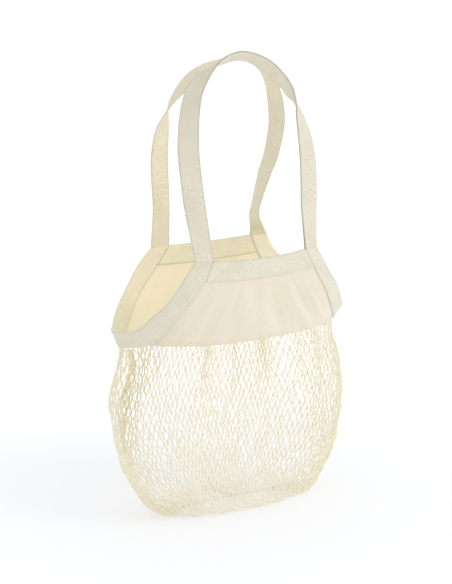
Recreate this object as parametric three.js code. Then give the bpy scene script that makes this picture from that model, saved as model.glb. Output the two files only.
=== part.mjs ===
import * as THREE from "three";

// String shopping bag hanging by its two handles. Millimetres, X along the bag, -Y its front, Z up.
// The origin is the point under the top of the handles, where the bag hangs.

// Main sizes
const handleDrop = 278; // hanging point to the cloth's top edges
const handleSpan = 94; // half the distance between a handle's two feet
const handleDepth = 69; // middle plane to the front handle's feet
const tapeWidth = 30;
const tapeThick = 2.4;
const bindingWall = 1;
const bandHeight = 29;
const mouthHalf = 195; // middle to a side binding's lowest free edge
const mouthDepth = 73; // middle plane to the front binding's sewn edge
const panelDrop = 131; // top edge to the side bindings' lowest point
const panelThick = 1;
const frontDepth = 77; // middle plane to the front panel's middle
const backDepth = 72; // middle plane to the back panel's middle
const edgeSag = 4; // how far the cloth's upper and lower edges sag in their middle
const netDrop = 262; // net's seam to its bottom
const netHalfWidth = 193;
const netHalfDepth = 84;
const netThick = 2.6;
const strandWidth = 8;
const bodySquare = 2.5; // power of the rounded plan outline
const slotRoom = 0.62; // play of the panel in its folded tape
const slotDepth = 10; // how far the panel reaches into its tape
const edgeInset = 4.4; // how much narrower a side binding is at its lowest point
const partGap = 0.3;
const cornerGap = 0.9; // end of a top band to the side binding
const seamStation = 4.8; // station of the side tables where the cloth's lower corner is

// Colours
const tapeColour = 0xe9e5d3;
const panelColour = 0xf1e9d2;
const netColour = 0xf0e6c6;

// Edges of the side openings from the front top corner, round the end, to the back top corner.
// Columns: free edge's share of mouthHalf, mouthDepth and panelDrop, then the sewn edge's. The sewn
// edges' depth and drop are the same at both ends.
const leftRows = [
  [0.549, -0.89, 0.0, 0.415, -1.0, 0.0],
  [0.62, -0.863, 0.153, 0.497, -1.0, 0.26],
  [0.69, -0.822, 0.305, 0.592, -0.959, 0.435],
  [0.774, -0.753, 0.458, 0.672, -0.849, 0.595],
  [0.862, -0.575, 0.611, 0.756, -0.616, 0.8],
  [0.94, -0.41, 0.745, 0.856, -0.41, 0.955],
  [1.056, 0.0, 0.786, 1.0, 0.0, 1.0],
  [0.974, 0.41, 0.74, 0.877, 0.41, 0.945],
  [0.895, 0.61, 0.615, 0.792, 0.63, 0.794],
  [0.785, 0.795, 0.45, 0.682, 0.822, 0.595],
  [0.7, 0.89, 0.305, 0.587, 0.904, 0.435],
  [0.622, 0.904, 0.153, 0.487, 0.918, 0.26],
  [0.545, 0.822, 0.0, 0.384, 0.836, 0.0],
];
const rightRows = [
  [0.549, -0.89, 0.0, 0.415, -1.0, 0.0],
  [0.62, -0.863, 0.153, 0.51, -1.0, 0.26],
  [0.69, -0.822, 0.305, 0.588, -0.959, 0.435],
  [0.774, -0.753, 0.458, 0.667, -0.849, 0.595],
  [0.862, -0.575, 0.611, 0.769, -0.616, 0.8],
  [0.935, -0.41, 0.8, 0.838, -0.41, 0.955],
  [0.99, 0.0, 0.845, 0.887, 0.0, 1.0],
  [0.935, 0.41, 0.8, 0.838, 0.41, 0.945],
  [0.86, 0.61, 0.615, 0.765, 0.63, 0.794],
  [0.765, 0.795, 0.45, 0.662, 0.822, 0.595],
  [0.672, 0.89, 0.305, 0.556, 0.904, 0.435],
  [0.587, 0.904, 0.153, 0.467, 0.918, 0.26],
  [0.52, 0.822, 0.0, 0.372, 0.836, 0.0],
];

// Centre lines of the handles, from the left foot over the top to the right foot.
// Columns: rise as a share of handleDrop, across of handleSpan, depth of handleDepth, and the
// degrees the tape's outer face turns from outward to the front.
const frontHandleRows = [
  [0.0, -1.0, -1.0, 74],
  [0.139, -1.028, -0.891, 72],
  [0.322, -1.066, -0.748, 66],
  [0.537, -1.072, -0.58, 54],
  [0.632, -1.044, -0.505, 44],
  [0.752, -0.978, -0.412, 31],
  [0.856, -0.867, -0.33, 20],
  [0.938, -0.674, -0.266, 5],
  [0.983, -0.475, -0.229, -16],
  [1.005, -0.305, -0.217, -31],
  [1.025, -0.066, -0.217, -34],
  [1.023, 0.114, -0.217, -28],
  [1.0, 0.362, -0.217, -21],
  [0.961, 0.548, -0.238, -20],
  [0.901, 0.734, -0.287, -14],
  [0.848, 0.857, -0.328, -4],
  [0.799, 0.922, -0.369, 8],
  [0.758, 0.985, -0.403, 26],
  [0.709, 1.036, -0.445, 48],
  [0.592, 1.094, -0.537, 70],
  [0.456, 1.11, -0.643, 82],
  [0.254, 1.053, -0.802, 84],
  [0.12, 0.995, -0.906, 79],
  [0.0, 1.0, -1.0, 74],
];
const backHandleRows = [
  [0.0, -0.931, 0.877, -76],
  [0.064, -0.945, 0.835, -80],
  [0.266, -1.014, 0.701, -82],
  [0.481, -1.098, 0.56, -84],
  [0.636, -1.1, 0.457, -70],
  [0.715, -1.054, 0.405, -46],
  [0.78, -0.982, 0.364, -22],
  [0.852, -0.818, 0.318, -3],
  [0.922, -0.622, 0.271, 3],
  [0.965, -0.398, 0.242, 2],
  [0.99, -0.179, 0.224, -3],
  [1.002, 0.083, 0.217, -4],
  [0.996, 0.322, 0.218, -5],
  [0.969, 0.57, 0.236, -5],
  [0.918, 0.766, 0.269, -3],
  [0.85, 0.893, 0.314, -5],
  [0.765, 0.988, 0.37, -12],
  [0.67, 1.05, 0.433, -15],
  [0.587, 1.062, 0.488, -12],
  [0.449, 1.013, 0.58, -8],
  [0.35, 0.924, 0.646, -2],
  [0.203, 0.832, 0.743, 2],
  [0.126, 0.812, 0.794, 2],
  [0.05, 0.855, 0.845, -14],
  [0.0, 0.931, 0.877, -56],
];

// Soft upright folds of the panels.
// Columns: share across (-1 to 1), depth as a share of the panel's own (inward is minus), width
// share, strongest row share.
const frontFolds = [
  [-0.52, -0.021, 0.1, 0.75],
  [-0.2, 0.016, 0.12, 0.35],
  [0.12, -0.019, 0.08, 0.7],
  [0.36, 0.029, 0.08, 0.45],
  [0.5, -0.031, 0.07, 0.5],
  [0.66, 0.026, 0.07, 0.55],
];
const backFolds = [
  [-0.55, 0.025, 0.1, 0.5],
  [-0.3, -0.028, 0.09, 0.5],
  [0.05, 0.021, 0.12, 0.6],
  [0.4, -0.031, 0.1, 0.45],
];

// Sections of the net sack from its seam to the middle of its bottom.
// Columns: share of the way along a strand, drop share, half-width share, half-depth share, power,
// shift to the right as a share of netHalfWidth.
const netRows = [
  [0.0, 0.0, 0.951, 0.887, 2.5, -0.057],
  [0.06, 0.06, 0.938, 0.905, 2.5, -0.052],
  [0.15, 0.165, 0.959, 0.952, 2.45, -0.04],
  [0.25, 0.29, 0.99, 0.99, 2.4, -0.045],
  [0.36, 0.43, 1.0, 1.0, 2.4, -0.047],
  [0.48, 0.58, 0.972, 0.99, 2.4, -0.044],
  [0.6, 0.735, 0.926, 0.95, 2.4, -0.031],
  [0.72, 0.88, 0.829, 0.87, 2.4, -0.016],
  [0.79, 0.955, 0.731, 0.77, 2.35, -0.005],
  [0.84, 0.99, 0.63, 0.66, 2.3, 0.01],
  [0.9, 1.0, 0.487, 0.5, 2.2, 0.01],
  [1.0, 1.0, 0.285, 0.27, 2.1, 0.0],
];

// Gathers and dents of the net.
// Columns: share round the sack from its left end over the front, depth as a share of
// netHalfDepth, width share, first and last share down, where each fades out.
const netFolds = [
  [0.045, -0.131, 0.022, 0.0, 0.5],
  [0.085, 0.071, 0.02, 0.05, 0.6],
  [0.215, -0.083, 0.016, 0.0, 0.3],
  [0.29, -0.083, 0.014, 0.0, 0.28],
  [0.4, -0.071, 0.02, 0.0, 0.4],
  [0.455, 0.06, 0.02, 0.1, 0.7],
  [0.6, -0.083, 0.022, 0.0, 0.5],
  [0.73, -0.071, 0.018, 0.0, 0.35],
  [0.86, -0.083, 0.02, 0.0, 0.45],
  [0.13, -0.06, 0.05, 0.5, 0.95],
  [0.37, -0.071, 0.035, 0.6, 0.95],
];
const topBlend = 0.35; // share down where the net has left its upper edge's shape
const netColumns = 16;
const netRings = 6;
const strandSteps = 2;

// Small helpers
function material(name, colour, roughness) {
  const made = new THREE.MeshStandardMaterial({ color: colour, roughness, metalness: 0 });
  made.name = name;
  return made;
}

function mix(a, b, share) {
  return a + (b - a) * share;
}

// Straight-line look-up of a table's columns by its first one.
function lookUp(rows, at) {
  let row = 1;
  while (row < rows.length - 1 && rows[row][0] < at) row += 1;
  const [low, high] = [rows[row - 1], rows[row]];
  const share = Math.min(Math.max((at - low[0]) / (high[0] - low[0]), 0), 1);
  return low.map((value, column) => mix(value, high[column], share));
}

function smoothRows(rows, steps) {
  const columns = rows[0].length;
  const out = [];
  for (let i = 0; i <= (rows.length - 1) * steps; i += 1) {
    const row = Math.min(Math.floor(i / steps), rows.length - 2);
    const t = i / steps - row;
    const at = (k) => rows[Math.min(Math.max(k, 0), rows.length - 1)];
    const line = [];
    for (let column = 0; column < columns; column += 1) {
      const [a, b, c, d] = [at(row - 1), at(row), at(row + 1), at(row + 2)].map((r) => r[column]);
      const bend = 2 * a - 5 * b + 4 * c - d;
      line.push(0.5 * (2 * b + (c - a) * t + bend * t * t + (3 * b - a - 3 * c + d) * t * t * t));
    }
    out.push(line);
  }
  return out;
}

// A closed mesh from points and triangles, turned so that its faces look outward.
function closedGeometry(points, triangles) {
  let volume = 0;
  for (const [i, j, k] of triangles) {
    volume += points[i].dot(new THREE.Vector3().crossVectors(points[j], points[k]));
  }
  const index = volume < 0 ? triangles.map(([i, j, k]) => [i, k, j]) : triangles;
  const geometry = new THREE.BufferGeometry();
  const flat = points.flatMap((point) => [point.x, point.y, point.z]);
  geometry.setAttribute("position", new THREE.Float32BufferAttribute(flat, 3));
  geometry.setIndex(index.flat());
  geometry.computeVertexNormals();
  return geometry;
}

// A tape swept along pairs of edge points. The profile holds [share from first to second edge,
// height in mm along the tape's normal].
function sweptTape(pairs, profile) {
  const points = [];
  const triangles = [];
  const count = profile.length;
  const middles = pairs.map(([a, b]) => a.clone().add(b).multiplyScalar(0.5));
  pairs.forEach(([a, b], row) => {
    const ahead = middles[Math.min(row + 1, pairs.length - 1)];
    const behind = middles[Math.max(row - 1, 0)];
    const along = ahead.clone().sub(behind);
    const across = b.clone().sub(a);
    const normal = new THREE.Vector3().crossVectors(along, across).normalize();
    for (const [share, height] of profile) {
      points.push(a.clone().addScaledVector(across, share).addScaledVector(normal, height));
    }
  });
  for (let row = 0; row < pairs.length - 1; row += 1) {
    for (let k = 0; k < count; k += 1) {
      const next = (k + 1) % count;
      const [p, q] = [row * count + k, row * count + next];
      triangles.push([p, q, q + count], [p, q + count, p + count]);
    }
  }
  const outline = profile.map(([share, height]) => new THREE.Vector2(share * tapeWidth, height));
  const last = (pairs.length - 1) * count;
  for (const [i, j, k] of THREE.ShapeUtils.triangulateShape(outline, [])) {
    const flip = THREE.ShapeUtils.area(outline) > 0;
    triangles.push(flip ? [i, k, j] : [i, j, k]);
    triangles.push(flip ? [last + i, last + j, last + k] : [last + i, last + k, last + j]);
  }
  return closedGeometry(points, triangles);
}

// A sheet of even thickness from a grid of its middle surface.
function thickSheet(grid, thickness) {
  const rows = grid.length;
  const columns = grid[0].length;
  const points = [];
  const triangles = [];
  const at = (i, j) => grid[Math.min(Math.max(i, 0), rows - 1)][Math.min(Math.max(j, 0), columns - 1)];
  for (const side of [1, -1]) {
    for (let i = 0; i < rows; i += 1) {
      for (let j = 0; j < columns; j += 1) {
        const down = at(i + 1, j).clone().sub(at(i - 1, j));
        const across = at(i, j + 1).clone().sub(at(i, j - 1));
        const normal = across.cross(down).normalize();
        points.push(grid[i][j].clone().addScaledVector(normal, (side * thickness) / 2));
      }
    }
  }
  const half = rows * columns;
  const quad = (a, b, c, d) => triangles.push([a, b, c], [a, c, d]);
  for (let i = 0; i < rows - 1; i += 1) {
    for (let j = 0; j < columns - 1; j += 1) {
      const p = i * columns + j;
      quad(p, p + columns, p + columns + 1, p + 1);
      quad(half + p, half + p + 1, half + p + columns + 1, half + p + columns);
    }
  }
  for (let j = 0; j < columns - 1; j += 1) {
    quad(j, j + 1, half + j + 1, half + j);
    const p = (rows - 1) * columns + j;
    quad(p + 1, p, half + p, half + p + 1);
  }
  for (let i = 0; i < rows - 1; i += 1) {
    const p = i * columns;
    quad(p + columns, p, half + p, half + p + columns);
    const q = p + columns - 1;
    quad(q, q + columns, half + q + columns, half + q);
  }
  return closedGeometry(points, triangles);
}

// The side openings' two edges, by station 0 (front top corner) to 12 (back top corner).
const lastStation = leftRows.length - 1;
const sideSteps = 4;
const smoothLeft = smoothRows(leftRows, sideSteps);
const smoothRight = smoothRows(rightRows, sideSteps);

function sideEdges(station, side) {
  const rows = side < 0 ? smoothLeft : smoothRight;
  const at = Math.min(Math.max(station, 0), lastStation) * sideSteps;
  const low = Math.min(Math.floor(at), rows.length - 2);
  const row = rows[low].map((value, k) => mix(value, rows[low + 1][k], at - low));
  const point = (k) =>
    new THREE.Vector3(
      side * row[k] * mouthHalf,
      row[k + 1] * mouthDepth,
      -handleDrop - row[k + 2] * panelDrop,
    );
  return [point(0), point(3)];
}

// The station where the sewn edge is so far below the top edge.
function stationAtDrop(drop, back) {
  let [low, high] = back ? [lastStation / 2, lastStation] : [0, lastStation / 2];
  for (let turn = 0; turn < 30; turn += 1) {
    const middle = (low + high) / 2;
    const below = -handleDrop - sideEdges(middle, 1)[1].z > drop;
    if (below !== back) high = middle;
    else low = middle;
  }
  return (low + high) / 2;
}

// A point of a cloth panel's middle surface, on the row that meets the sewn edges at a station.
function rowPoint(station, share, back) {
  const [left, right] = [-1, 1].map((side) => sideEdges(station, side)[1]);
  const railHalf = (right.x - left.x) / 2;
  const depth = back ? backDepth : frontDepth;
  const reach = Math.min(Math.abs(right.y) / depth, 0.999);
  const half = railHalf / (1 - reach ** bodySquare) ** (1 / bodySquare);
  const start = Math.acos(Math.min((railHalf / half) ** (bodySquare / 2), 1));
  const angle = Math.PI / 2 - share * (Math.PI / 2 - start);
  const x = Math.sign(Math.cos(angle)) * half * Math.abs(Math.cos(angle)) ** (2 / bodySquare);
  const y = depth * Math.sin(angle) ** (2 / bodySquare);
  const sag = edgeSag * (1 - (x / railHalf) ** 2);
  return new THREE.Vector3((left.x + right.x) / 2 + x, back ? y : -y, right.z - sag);
}

// Handles: flat tapes that twist over the top
function handlePairs(rows, back) {
  const fine = smoothRows(rows, 3);
  const centres = fine.map(
    ([rise, across, depth]) =>
      new THREE.Vector3(across * handleSpan, depth * handleDepth, (rise - 1) * handleDrop),
  );
  const pairs = centres.map((centre, i) => {
    const ahead = centres[Math.min(i + 1, centres.length - 1)];
    const along = ahead.clone().sub(centres[Math.max(i - 1, 0)]).normalize();
    const front = new THREE.Vector3(0, -1, 0);
    front.addScaledVector(along, -front.dot(along)).normalize();
    const outward = new THREE.Vector3().crossVectors(front, along);
    const turn = THREE.MathUtils.degToRad(fine[i][3]);
    const normal = outward.multiplyScalar(Math.cos(turn)).addScaledVector(front, Math.sin(turn));
    const across = new THREE.Vector3().crossVectors(along, normal);
    return [
      centre.clone().addScaledVector(across, -tapeWidth / 2),
      centre.clone().addScaledVector(across, tapeWidth / 2),
    ];
  });
  // The feet end level on the side bindings' top ends.
  const corner = back ? lastStation : 0;
  [-1, 1].forEach((side, end) => {
    const [free, sewn] = sideEdges(corner, side);
    free.z += partGap;
    sewn.z += partGap;
    const order = back ? [sewn, free] : [free, sewn];
    pairs[end ? pairs.length - 1 : 0] = order;
  });
  return pairs;
}

const tapeProfile = [
  [0, 0],
  [0.03, -0.5 * tapeThick],
  [0.97, -0.5 * tapeThick],
  [1, 0],
  [0.97, 0.5 * tapeThick],
  [0.03, 0.5 * tapeThick],
];

function handleGeometry(rows, back) {
  return sweptTape(handlePairs(rows, back), tapeProfile);
}

// Folded tape: two walls joined at the free edge, open at the sewn edge for the panel
const slotHalf = panelThick / 2 + slotRoom;
const foldHalf = slotHalf + bindingWall;
const foldedProfile = [
  [1, foldHalf],
  [0.03, foldHalf],
  [0, 0.4 * foldHalf],
  [0, -0.4 * foldHalf],
  [0.03, -foldHalf],
  [1, -foldHalf],
  [1, -slotHalf],
  [0.05, -slotHalf],
  [0.05, slotHalf],
  [1, slotHalf],
];

function sideBinding(side) {
  const pairs = [];
  const steps = 48;
  for (let i = 0; i <= steps; i += 1) {
    const station = (lastStation * i) / steps;
    const [free, sewn] = sideEdges(station, side);
    const lowest = Math.exp(-(((station - lastStation / 2) / 1.1) ** 2));
    const inset = partGap + edgeInset * lowest;
    pairs.push([free, sewn.clone().lerp(free, inset / tapeWidth)]);
  }
  return sweptTape(pairs, foldedProfile);
}

// Top bands: folded tape along the cloth's top edge, between the side bindings
function topBand(back) {
  const top = back ? lastStation : 0;
  const low = stationAtDrop(bandHeight, back);
  const steps = 26;
  const pairs = [];
  for (let i = 0; i <= steps; i += 1) {
    const share = (2 * i) / steps - 1;
    const upper = rowPoint(top, share, back);
    const lower = rowPoint(low, share, back);
    upper.x *= 1 - cornerGap / Math.abs(rowPoint(top, 1, back).x);
    lower.x *= 1 - cornerGap / Math.abs(rowPoint(low, 1, back).x);
    pairs.push([upper, lower]);
  }
  return sweptTape(pairs, foldedProfile);
}

// Cloth panels, tucked into the folded tapes at the top and at both slanted sides
function foldHeight(folds, share, row) {
  let height = 0;
  for (const [at, depth, width, strongest] of folds) {
    const fall = Math.exp(-(((share - at) / width) ** 2));
    height += depth * fall * Math.exp(-(((row - strongest) / 0.35) ** 2));
  }
  const fade = Math.min(row * 6, 1) * Math.min((1 - row) * 8, 1) * Math.min((1 - Math.abs(share)) * 6, 1);
  return height * Math.max(fade, 0);
}

function clothPanel(back) {
  const rows = 12;
  const columns = 26;
  const top = back ? lastStation : 0;
  const low = stationAtDrop(bandHeight, back);
  const start = stationAtDrop(bandHeight - slotDepth, back);
  const middle = lastStation / 2;
  const end = back ? lastStation - seamStation : seamStation;
  const grid = [];
  for (let i = 0; i <= rows; i += 1) {
    const station = i < 2 ? mix(start, low, i / 2) : mix(low, end, (i - 2) / (rows - 2));
    const row = i < 2 ? 0 : (i - 2) / (rows - 2);
    const line = [];
    const tuck = slotDepth * Math.min(Math.abs(station - middle) / 2 + 0.08, 1);
    const slots = [-1, 1].map((side) => {
      const [free, sewn] = sideEdges(station, side);
      return sewn.clone().lerp(free, tuck / tapeWidth);
    });
    line.push(slots[0]);
    for (let j = 0; j <= columns; j += 1) {
      const share = (2 * j) / columns - 1;
      let point = rowPoint(station, share, back);
      if (i < 2) {
        const rise = (point.z - rowPoint(top, share, back).z) / -bandHeight;
        point = rowPoint(top, share, back).lerp(rowPoint(low, share, back), rise);
      }
      const out = new THREE.Vector3(point.x * 0.3, point.y, 0).normalize();
      const fold = foldHeight(back ? backFolds : frontFolds, share, row);
      point.addScaledVector(out, fold * (back ? backDepth : frontDepth));
      line.push(point);
    }
    line.push(slots[1]);
    grid.push(line);
  }
  return thickSheet(grid, panelThick);
}

// Net sack
const fairSteps = 360;

function outlinePoint(angle, half, depth, power) {
  const [c, s] = [Math.cos(angle), Math.sin(angle)];
  const x = -Math.sign(c) * half * Math.abs(c) ** (2 / power);
  const reach = s > 0 ? frontDepth : backDepth;
  const lean = (2 * reach) / (frontDepth + backDepth);
  const y = -Math.sign(s) * depth * lean * Math.abs(s) ** (2 / power);
  return new THREE.Vector2(x, y);
}

// The angle at each even step of length round the widest section, from the left end over the front.
function fairAngles() {
  const lengths = [0];
  let before = outlinePoint(0, netHalfWidth, netHalfDepth, bodySquare);
  for (let i = 1; i <= fairSteps; i += 1) {
    const here = outlinePoint((2 * Math.PI * i) / fairSteps, netHalfWidth, netHalfDepth, bodySquare);
    lengths.push(lengths[i - 1] + here.distanceTo(before));
    before = here;
  }
  return lengths.map((length, i) => [length / lengths[fairSteps], (2 * Math.PI * i) / fairSteps]);
}
const angleTable = fairAngles();

function netFoldDepth(round, run) {
  let depth = 0;
  for (const [at, fold, width, first, last] of netFolds) {
    const away = Math.abs(((round - at + 1.5) % 1) - 0.5);
    const share = (run - first) / (last - first);
    if (share <= 0 || share >= 1) continue;
    const fade = Math.sin(Math.PI * share) ** 0.7;
    depth += fold * netHalfDepth * Math.exp(-((away / width) ** 2)) * fade;
  }
  return depth;
}

// The net's upper edge by share round: under the cloths' lower edges and, between their corners,
// under the side bindings. The front half comes first, from left to right.
function upperEdge() {
  const out = [];
  for (const back of [false, true]) {
    const corner = back ? lastStation - seamStation : seamStation;
    const line = [];
    const ends = [0, 1, 2, 3, 4, 5].map((i) => mix(lastStation / 2, corner, i / 6));
    for (const station of ends) line.push(sideEdges(station, -1)[1]);
    for (let i = 0; i <= 40; i += 1) line.push(rowPoint(corner, i / 20 - 1, back));
    for (const station of ends.reverse()) line.push(sideEdges(station, 1)[1]);
    if (back) line.reverse();
    const lengths = [0];
    line.slice(1).forEach((point, i) => lengths.push(lengths[i] + point.distanceTo(line[i])));
    line.forEach((point, i) => {
      const round = (lengths[i] / lengths[line.length - 1] + (back ? 1 : 0)) / 2;
      out.push([round, point.x, point.y, point.z - 2 * partGap]);
    });
  }
  return out;
}
const edgeTable = upperEdge();
const smoothNet = smoothRows(netRows, 4);

// A point of the sack before its top is drawn to the cloth.
function sackPoint(round, run) {
  const angle = lookUp(angleTable, round)[1];
  const [, drop, wide, deep, power, shift] = lookUp(smoothNet, run);
  const flat = outlinePoint(angle, wide * netHalfWidth, deep * netHalfDepth, power);
  const length = flat.length();
  flat.multiplyScalar((length + netFoldDepth(round, run)) / length);
  const z = -handleDrop - panelDrop - drop * netDrop;
  return new THREE.Vector3(flat.x + shift * netHalfWidth, flat.y, z);
}

function netPoint(column, ring) {
  const run = ring / netRings;
  const round = (((column / netColumns) % 1) + 1) % 1;
  const share = Math.min(run / topBlend, 1);
  const [, x, y, z] = lookUp(edgeTable, round);
  const pull = new THREE.Vector3(x, y, z).sub(sackPoint(round, 0));
  return sackPoint(round, run).addScaledVector(pull, 1 - share * share * (3 - 2 * share));
}

function netNormal(column, ring) {
  const step = 0.05;
  const round = netPoint(column + step, ring).sub(netPoint(column - step, ring));
  const [above, below] = [Math.max(ring - step, 0), Math.min(ring + step, netRings)];
  const down = netPoint(column, below).sub(netPoint(column, above));
  return round.cross(down).normalize();
}

// How wide a strand's knot is, in columns, where the sack is so wide.
function knotHalf(ring) {
  const here = netPoint(0, ring).distanceTo(netPoint(netColumns / 2, ring));
  const deep = netPoint(netColumns / 4, ring).distanceTo(netPoint((3 * netColumns) / 4, ring));
  const columnWidth = (1.36 * (here + deep)) / netColumns;
  return Math.min((0.58 * strandWidth) / columnWidth, 0.24);
}

// The lattice as flat pieces between knots, given two faces and side walls.
function netGeometry() {
  const keys = new Map();
  const corners = [];
  const faces = [];
  const corner = (column, ring) => {
    const turned = ((column % netColumns) + netColumns) % netColumns;
    const key = `${(Math.round(turned * 1e4) / 1e4) % netColumns},${Math.round(ring * 1e4)}`;
    if (!keys.has(key)) {
      keys.set(key, corners.length);
      corners.push([turned, ring]);
    }
    return keys.get(key);
  };
  const quad = (a, b, c, d) => faces.push([a, b, c], [a, c, d]);
  const knotTall = 0.13;
  const rim = 0.16;
  const ringAt = (ring) => mix(rim, netRings - 0.02, ring / netRings);
  const knot = (column, ring) => {
    const at = ringAt(ring);
    const half = knotHalf(at);
    const tall = ring === netRings ? 0.1 : knotTall;
    return {
      west: [column - half, at],
      east: [column + half, at],
      north: [column, at - tall],
      south: [column, at + tall],
    };
  };
  const strip = (a, b, c, d) => {
    for (let i = 0; i < strandSteps; i += 1) {
      const [s, t] = [i / strandSteps, (i + 1) / strandSteps];
      const point = (p, q, share) => corner(mix(p[0], q[0], share), mix(p[1], q[1], share));
      quad(point(a, d, s), point(b, c, s), point(b, c, t), point(a, d, t));
    }
  };
  for (let ring = 0; ring <= netRings; ring += 1) {
    const shift = (ring % 2) / 2;
    for (let j = 0; j < netColumns; j += 1) {
      const here = knot(j + shift, ring);
      if (ring > 0) {
        const c = [here.north, here.west, here.east].map((p) => corner(...p));
        faces.push([c[0], c[1], c[2]]);
      }
      if (ring < netRings) {
        const c = [here.south, here.east, here.west].map((p) => corner(...p));
        faces.push([c[0], c[1], c[2]]);
        const east = knot(j + shift + 0.5, ring + 1);
        const west = knot(j + shift - 0.5, ring + 1);
        strip(here.east, here.south, east.west, east.north);
        strip(here.south, here.west, west.north, west.east);
      }
      if (ring === 0 || ring === netRings) {
        const next = knot(j + shift + 1, ring);
        const middle = [(here.east[0] + next.west[0]) / 2, here.east[1]];
        const line = [here.west, here.east, middle, next.west].map((p) => corner(...p));
        if (ring === 0) {
          const top = [here.west, here.east, middle, next.west].map((p) => corner(p[0], 0));
          for (let k = 0; k < 3; k += 1) quad(top[k], line[k], line[k + 1], top[k + 1]);
        } else {
          for (let k = 0; k < 3; k += 1) faces.push([line[k], -1, line[k + 1]]);
        }
      }
    }
  }
  // The bottom's middle closes the sack.
  const centre = corners.length;
  const triangles = faces.map((face) => face.map((k) => (k < 0 ? centre : k)));
  const count = centre + 1;
  const points = [];
  for (const side of [1, -1]) {
    for (const [column, ring] of corners) {
      const normal = netNormal(column, ring);
      points.push(netPoint(column, ring).addScaledVector(normal, (side * netThick) / 2));
    }
    const low = netPoint(0, netRings).z;
    points.push(new THREE.Vector3(0, 0, low - (side * netThick) / 2));
  }
  const used = new Map();
  const out = [];
  for (const [a, b, c] of triangles) {
    out.push([a, b, c], [count + a, count + c, count + b]);
    for (const [p, q] of [[a, b], [b, c], [c, a]]) used.set(`${p},${q}`, [p, q]);
  }
  for (const [p, q] of used.values()) {
    if (used.has(`${q},${p}`)) continue;
    out.push([q, p, count + p], [q, count + p, count + q]);
  }
  return closedGeometry(points, out);
}

// Assembly
const root = new THREE.Group();

function add(name, geometry, slot, colour, roughness) {
  const mesh = new THREE.Mesh(geometry, material(slot, colour, roughness));
  mesh.name = name;
  root.add(mesh);
}

add("front_panel", clothPanel(false), "cotton_cloth", panelColour, 0.95);
add("back_panel", clothPanel(true), "cotton_cloth", panelColour, 0.95);
add("front_top_band", topBand(false), "cotton_tape", tapeColour, 0.95);
add("back_top_band", topBand(true), "cotton_tape", tapeColour, 0.95);
add("left_side_binding", sideBinding(-1), "cotton_tape", tapeColour, 0.95);
add("right_side_binding", sideBinding(1), "cotton_tape", tapeColour, 0.95);
add("front_handle", handleGeometry(frontHandleRows, false), "cotton_tape", tapeColour, 0.95);
add("back_handle", handleGeometry(backHandleRows, true), "cotton_tape", tapeColour, 0.95);
add("net_body", netGeometry(), "cotton_string", netColour, 0.95);

export default root;
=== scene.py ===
import math

import bmesh
import bpy
import numpy as np
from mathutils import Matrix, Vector


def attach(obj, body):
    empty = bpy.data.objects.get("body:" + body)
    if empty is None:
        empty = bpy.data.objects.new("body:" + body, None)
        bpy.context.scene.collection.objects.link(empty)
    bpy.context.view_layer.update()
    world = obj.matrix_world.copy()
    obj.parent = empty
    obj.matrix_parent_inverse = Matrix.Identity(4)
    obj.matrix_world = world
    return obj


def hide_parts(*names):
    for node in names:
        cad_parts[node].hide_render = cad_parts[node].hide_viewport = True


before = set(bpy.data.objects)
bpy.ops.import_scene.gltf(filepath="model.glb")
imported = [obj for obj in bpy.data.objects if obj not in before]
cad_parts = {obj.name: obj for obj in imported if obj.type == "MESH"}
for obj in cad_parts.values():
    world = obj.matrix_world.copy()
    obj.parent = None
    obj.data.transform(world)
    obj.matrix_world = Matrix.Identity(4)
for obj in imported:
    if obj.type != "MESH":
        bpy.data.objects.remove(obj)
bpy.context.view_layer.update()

mm = 0.001

# sizes shared by all pieces, in mm, as the solids have them
bag = {
    "handleDrop": 278, "handleSpan": 94, "handleDepth": 69, "tapeWidth": 30,
    "bandHeight": 29, "mouthHalf": 195, "mouthDepth": 73, "panelDrop": 131,
    "frontDepth": 77, "backDepth": 72, "edgeSag": 4, "seamStation": 4.8,
    "netDrop": 262, "netHalfWidth": 193, "netHalfDepth": 84, "square": 2.5,
}

# edges of the side openings from the front top corner to the back top corner: the free edge's
# share of mouthHalf, mouthDepth and panelDrop, then the sewn edge's
leftRows = np.array([
    [0.549, -0.89, 0.0, 0.415, -1.0, 0.0], [0.62, -0.863, 0.153, 0.497, -1.0, 0.26],
    [0.69, -0.822, 0.305, 0.592, -0.959, 0.435], [0.774, -0.753, 0.458, 0.672, -0.849, 0.595],
    [0.862, -0.575, 0.611, 0.756, -0.616, 0.8], [0.94, -0.41, 0.745, 0.856, -0.41, 0.955],
    [1.056, 0.0, 0.786, 1.0, 0.0, 1.0], [0.974, 0.41, 0.74, 0.877, 0.41, 0.945],
    [0.895, 0.61, 0.615, 0.792, 0.63, 0.794], [0.785, 0.795, 0.45, 0.682, 0.822, 0.595],
    [0.7, 0.89, 0.305, 0.587, 0.904, 0.435], [0.622, 0.904, 0.153, 0.487, 0.918, 0.26],
    [0.545, 0.822, 0.0, 0.384, 0.836, 0.0],
])
rightRows = np.array([
    [0.549, -0.89, 0.0, 0.415, -1.0, 0.0], [0.62, -0.863, 0.153, 0.51, -1.0, 0.26],
    [0.69, -0.822, 0.305, 0.588, -0.959, 0.435], [0.774, -0.753, 0.458, 0.667, -0.849, 0.595],
    [0.862, -0.575, 0.611, 0.769, -0.616, 0.8], [0.935, -0.41, 0.8, 0.838, -0.41, 0.955],
    [0.99, 0.0, 0.845, 0.887, 0.0, 1.0], [0.935, 0.41, 0.8, 0.838, 0.41, 0.945],
    [0.86, 0.61, 0.615, 0.765, 0.63, 0.794], [0.765, 0.795, 0.45, 0.662, 0.822, 0.595],
    [0.672, 0.89, 0.305, 0.556, 0.904, 0.435], [0.587, 0.904, 0.153, 0.467, 0.918, 0.26],
    [0.52, 0.822, 0.0, 0.372, 0.836, 0.0],
])

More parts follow.
